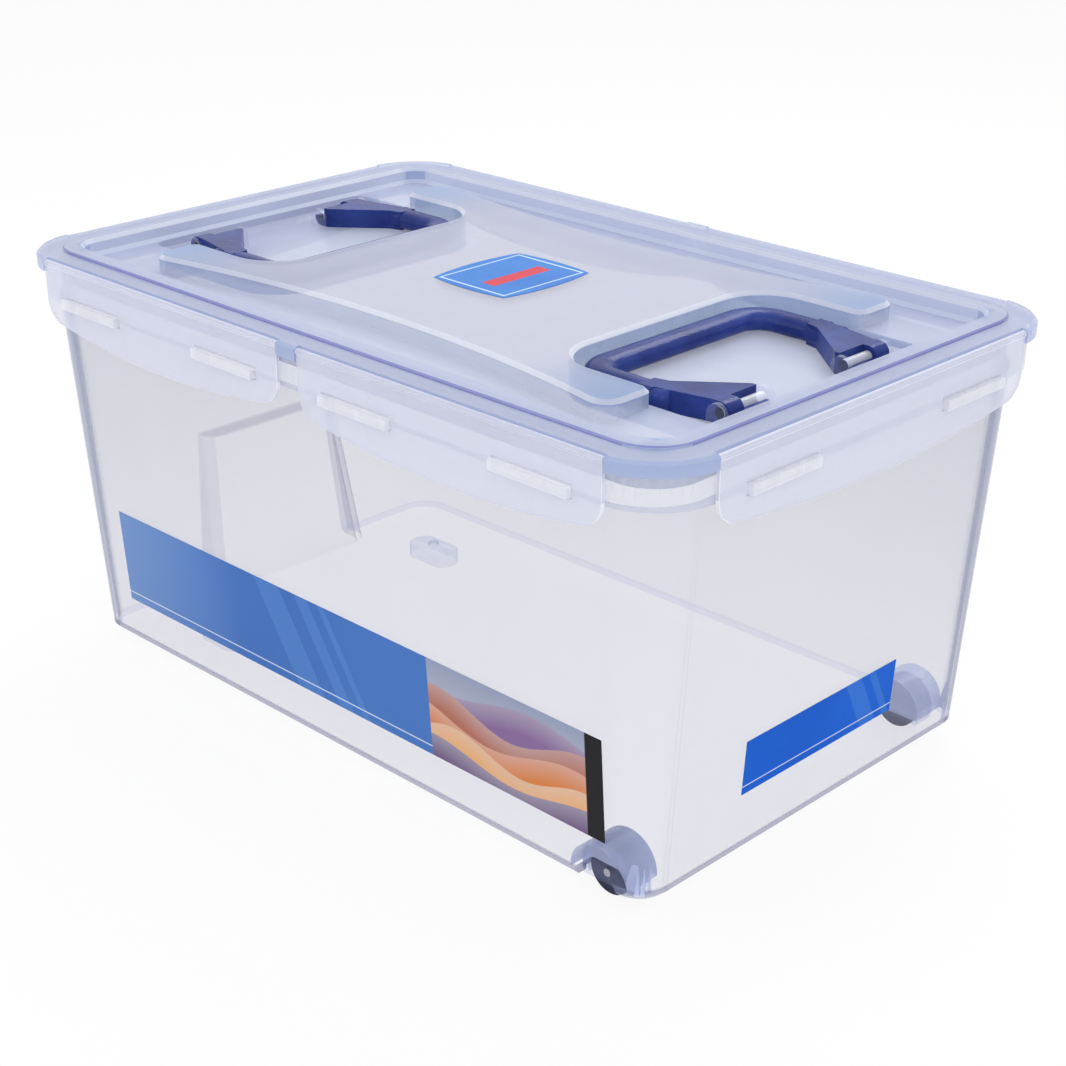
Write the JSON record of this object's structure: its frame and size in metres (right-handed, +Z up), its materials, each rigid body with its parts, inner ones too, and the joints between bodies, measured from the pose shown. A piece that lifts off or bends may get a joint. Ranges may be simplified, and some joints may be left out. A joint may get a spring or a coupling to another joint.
{
  "type": "storage container",
  "caption": "Clear lidded storage tub with snap-down latch flaps on every side, folding bail handles sunk in the lid and small wheels under one end.",
  "frame": {"origin": "on the ground, under the middle of the container", "axes": "+X along the length towards the wheels, -Y the labelled front, +Z up"},
  "size_m": [0.464, 0.2974, 0.2306],
  "materials": {
    "tub_clear": "clear moulded plastic with a faint cool tint",
    "lid_clear": "clear moulded plastic with a faint violet tint, finely frosted on top",
    "latch_frosted": "frosted translucent plastic",
    "seal_silicone": "translucent silicone",
    "handle_navy": "finely grained dark blue plastic",
    "wheel_dark": "smooth dark plastic",
    "axle_steel": "plain drawn wire",
    "holder_clear": "clear moulded plastic",
    "label_print": "printed film, bare of words",
    "sticker_print": "printed paper sticker, bare of words"
  },
  "bodies": {
    "tub": {"tub": "tub_clear", "axle_front": "axle_steel", "axle_rear": "axle_steel", "wheel_holder_front": "holder_clear", "wheel_holder_rear": "holder_clear", "foot_front": "holder_clear", "foot_rear": "holder_clear", "front_label": "label_print", "end_label": "label_print"},
    "lid": {"lid": "lid_clear", "seal": "seal_silicone", "lid_sticker": "sticker_print"},
    "latch_front_left": {"latch_front_left": "latch_frosted"},
    "latch_front_right": {"latch_front_right": "latch_frosted"},
    "latch_rear_left": {"latch_rear_left": "latch_frosted"},
    "latch_rear_right": {"latch_rear_right": "latch_frosted"},
    "latch_right_end": {"latch_right_end": "latch_frosted"},
    "latch_left_end": {"latch_left_end": "latch_frosted"},
    "handle_right": {"handle_right": "handle_navy"},
    "handle_left": {"handle_left": "handle_navy"},
    "wheel_front": {"wheel_front": "wheel_dark"},
    "wheel_rear": {"wheel_rear": "wheel_dark"}
  },
  "joints": [
    {"name": "lid_lift", "type": "slide", "parent": "tub", "child": "lid", "axis": [0, 0, 1], "range_m": [0, 0.24]},
    {"name": "latch_front_left_hinge", "type": "hinge", "parent": "lid", "child": "latch_front_left", "pos_m": [-0.1025, -0.145, 0.2265], "axis": [-1, 0, 0], "range_deg": [0, 130]},
    {"name": "latch_front_right_hinge", "type": "hinge", "parent": "lid", "child": "latch_front_right", "pos_m": [0.1025, -0.145, 0.2265], "axis": [-1, 0, 0], "range_deg": [0, 130]},
    {"name": "latch_rear_left_hinge", "type": "hinge", "parent": "lid", "child": "latch_rear_left", "pos_m": [-0.1025, 0.145, 0.2265], "axis": [1, 0, 0], "range_deg": [0, 130]},
    {"name": "latch_rear_right_hinge", "type": "hinge", "parent": "lid", "child": "latch_rear_right", "pos_m": [0.1025, 0.145, 0.2265], "axis": [1, 0, 0], "range_deg": [0, 130]},
    {"name": "latch_right_end_hinge", "type": "hinge", "parent": "lid", "child": "latch_right_end", "pos_m": [0.2283, 0, 0.2265], "axis": [0, -1, 0], "range_deg": [0, 130]},
    {"name": "latch_left_end_hinge", "type": "hinge", "parent": "lid", "child": "latch_left_end", "pos_m": [-0.2283, 0, 0.2265], "axis": [0, 1, 0], "range_deg": [0, 130]},
    {"name": "handle_right_pivot", "type": "hinge", "parent": "lid", "child": "handle_right", "pos_m": [0.185, 0, 0.22015], "axis": [0, 1, 0], "range_deg": [0, 95]},
    {"name": "handle_left_pivot", "type": "hinge", "parent": "lid", "child": "handle_left", "pos_m": [-0.185, 0, 0.22015], "axis": [0, -1, 0], "range_deg": [0, 95]},
    {"name": "wheel_front_spin", "type": "hinge", "parent": "tub", "child": "wheel_front", "pos_m": [0.178, -0.1105, 0.012], "axis": [0, 1, 0], "continuous": true},
    {"name": "wheel_rear_spin", "type": "hinge", "parent": "tub", "child": "wheel_rear", "pos_m": [0.178, 0.1105, 0.012], "axis": [0, 1, 0], "continuous": true}
  ]
}
